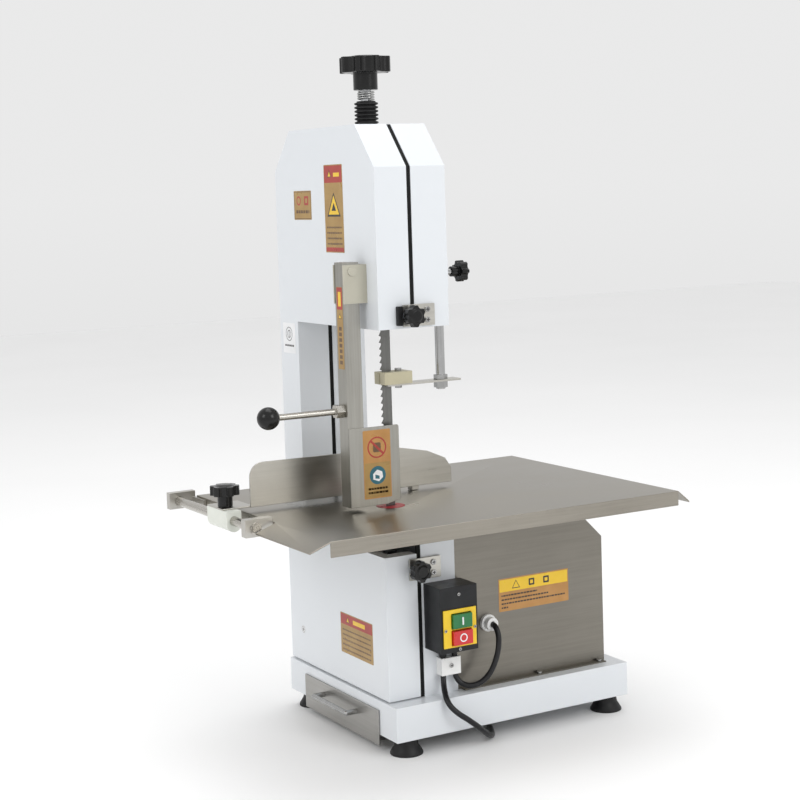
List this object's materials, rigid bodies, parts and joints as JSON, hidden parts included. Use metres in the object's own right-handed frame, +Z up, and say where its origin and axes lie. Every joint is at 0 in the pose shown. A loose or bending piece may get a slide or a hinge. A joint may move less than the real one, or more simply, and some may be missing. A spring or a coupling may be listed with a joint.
{
  "type": "butcher's bone saw",
  "caption": "Tabletop butcher's band saw for meat and bone: C-shaped white housing, stainless table, sliding fence, swinging pusher, scrap drawer and mains lead.",
  "frame": {"origin": "centre of the machine's footprint at the floor under the rubber feet, without the mains cord", "axes": "+Z up, -Y towards the operator, +X to the operator's right, the side with the switch and latches"},
  "size_m": [0.5327, 0.5617, 0.88],
  "materials": {
    "white_powder_coat": "gloss",
    "brushed_stainless": "brushed",
    "dark_stainless": "brushed",
    "zinc_steel": "bright",
    "machined_steel": "turned",
    "cast_grey": "cast",
    "motor_paint": "satin",
    "blade_steel": "rolled",
    "black_rubber": "matt",
    "black_bakelite": "gloss",
    "switch_black": "satin",
    "switch_yellow": "satin",
    "button_green": "satin",
    "button_red": "satin",
    "insert_red": "satin",
    "cream_nylon": "satin",
    "white_nylon": "satin",
    "cream_bracket": "satin",
    "cord_pvc": "satin"
  },
  "bodies": {
    "frame": {"base_tray": "white_powder_coat", "rubber_feet": "black_rubber", "drawer_runners": "zinc_steel", "rear_frame": "white_powder_coat", "seam_gasket": "black_rubber", "hinge_frame_leaves": "zinc_steel", "latch_plates": "brushed_stainless", "carriage_guides": "cast_grey", "bellows": "black_rubber", "tension_spring": "zinc_steel", "wheel_scraper": "white_nylon", "saw_blade": "blade_steel", "motor": "motor_paint", "motor_cover": "dark_stainless", "lower_guide": "cream_nylon", "table_top": "brushed_stainless", "table_insert": "insert_red", "table_slot_cover": "brushed_stainless", "table_supports": "brushed_stainless", "fence_rod": "brushed_stainless", "fence_rod_brackets": "brushed_stainless", "switch_box": "switch_black", "switch_plate": "switch_yellow", "small_screws": "zinc_steel", "cable_gland": "white_nylon", "cable_clip": "white_nylon", "motor_lead": "cord_pvc", "mains_cord": "cord_pvc", "cord_coil": "cord_pvc", "mains_plug": "black_rubber"},
    "door": {"front_door": "white_powder_coat", "hinge_door_leaves": "zinc_steel", "latch_studs": "zinc_steel", "pusher_bracket": "cream_bracket"},
    "latch_knob_upper": {"latch_knob_upper": "black_bakelite"},
    "latch_knob_lower": {"latch_knob_lower": "black_bakelite"},
    "pusher": {"pusher_arm": "brushed_stainless", "pusher_plate": "brushed_stainless", "pusher_handle": "brushed_stainless", "pusher_ball": "black_bakelite"},
    "lower_wheel": {"lower_wheel": "machined_steel", "drive_shaft": "machined_steel"},
    "carriage": {"tension_carriage": "machined_steel", "upper_axle": "machined_steel"},
    "upper_wheel": {"upper_wheel": "machined_steel", "upper_bearings": "machined_steel"},
    "tension_knob": {"tension_knob": "black_bakelite"},
    "guide": {"guide_post": "zinc_steel", "guide_arm": "brushed_stainless", "guide_fasteners": "zinc_steel", "guide_block": "cream_nylon"},
    "guide_lock": {"guide_lock_knob": "black_bakelite", "guide_lock_stud": "zinc_steel"},
    "fence": {"fence_block": "white_nylon", "fence_plate": "brushed_stainless"},
    "fence_knob": {"fence_knob": "black_bakelite"},
    "drawer": {"drawer_tray": "brushed_stainless", "drawer_handle": "zinc_steel"},
    "start_button": {"start_button": "button_green"},
    "stop_button": {"stop_button": "button_red"}
  },
  "joints": [
    {"name": "door_hinge", "type": "hinge", "parent": "frame", "child": "door", "pos_m": [-0.1905, -0.0595, 0.365], "axis": [0, 0, 1], "range_deg": [-25, 0]},
    {"name": "upper_latch_turn", "type": "hinge", "parent": "door", "child": "latch_knob_upper", "pos_m": [0.0985, -0.067, 0.549], "axis": [1, 0, 0], "continuous": true},
    {"name": "lower_latch_turn", "type": "hinge", "parent": "door", "child": "latch_knob_lower", "pos_m": [0.0945, -0.067, 0.23], "axis": [1, 0, 0], "continuous": true},
    {"name": "pusher_swing", "type": "hinge", "parent": "door", "child": "pusher", "pos_m": [0.0485, -0.129, 0.606], "axis": [1, 0, 0], "range_deg": [-85, 0]},
    {"name": "lower_wheel_spin", "type": "hinge", "parent": "frame", "child": "lower_wheel", "pos_m": [-0.055, -0.078, 0.156], "axis": [0, 1, 0], "continuous": true},
    {"name": "carriage_slide", "type": "slide", "parent": "frame", "child": "carriage", "axis": [0, 0, 1], "range_m": [-0.008, 0]},
    {"name": "upper_wheel_spin", "type": "hinge", "parent": "carriage", "child": "upper_wheel", "pos_m": [-0.055, -0.078, 0.651], "axis": [0, 1, 0], "continuous": true},
    {"name": "tension_knob_turn", "type": "hinge", "parent": "frame", "child": "tension_knob", "pos_m": [-0.055, -0.036, 0.855], "axis": [0, 0, 1], "range_deg": [0, 1440]},
    {"name": "guide_slide", "type": "slide", "parent": "frame", "child": "guide", "axis": [0, 0, 1], "range_m": [-0.045, 0.045]},
    {"name": "guide_lock_turn", "type": "hinge", "parent": "frame", "child": "guide_lock", "pos_m": [0.05, 0.032, 0.598], "axis": [0, 1, 0], "continuous": true},
    {"name": "fence_slide", "type": "slide", "parent": "frame", "child": "fence", "axis": [1, 0, 0], "range_m": [-0.092, 0.045]},
    {"name": "fence_lock_turn", "type": "hinge", "parent": "fence", "child": "fence_knob", "pos_m": [-0.0425, -0.264, 0.33], "axis": [0, 0, 1], "continuous": true},
    {"name": "drawer_slide", "type": "slide", "parent": "frame", "child": "drawer", "axis": [0, -1, 0], "range_m": [0, 0.15]},
    {"name": "start_press", "type": "slide", "parent": "frame", "child": "start_button", "axis": [-1, 0, 0], "range_m": [0, 0.003], "stiffness_N_per_m": 400},
    {"name": "stop_press", "type": "slide", "parent": "frame", "child": "stop_button", "axis": [-1, 0, 0], "range_m": [0, 0.003], "stiffness_N_per_m": 400}
  ],
  "couplings": [
    {"joint": "tension_knob_turn", "follows": "carriage_slide", "rad_per_m": -3141.5},
    {"joint": "upper_wheel_spin", "follows": "lower_wheel_spin", "ratio": 1}
  ]
}
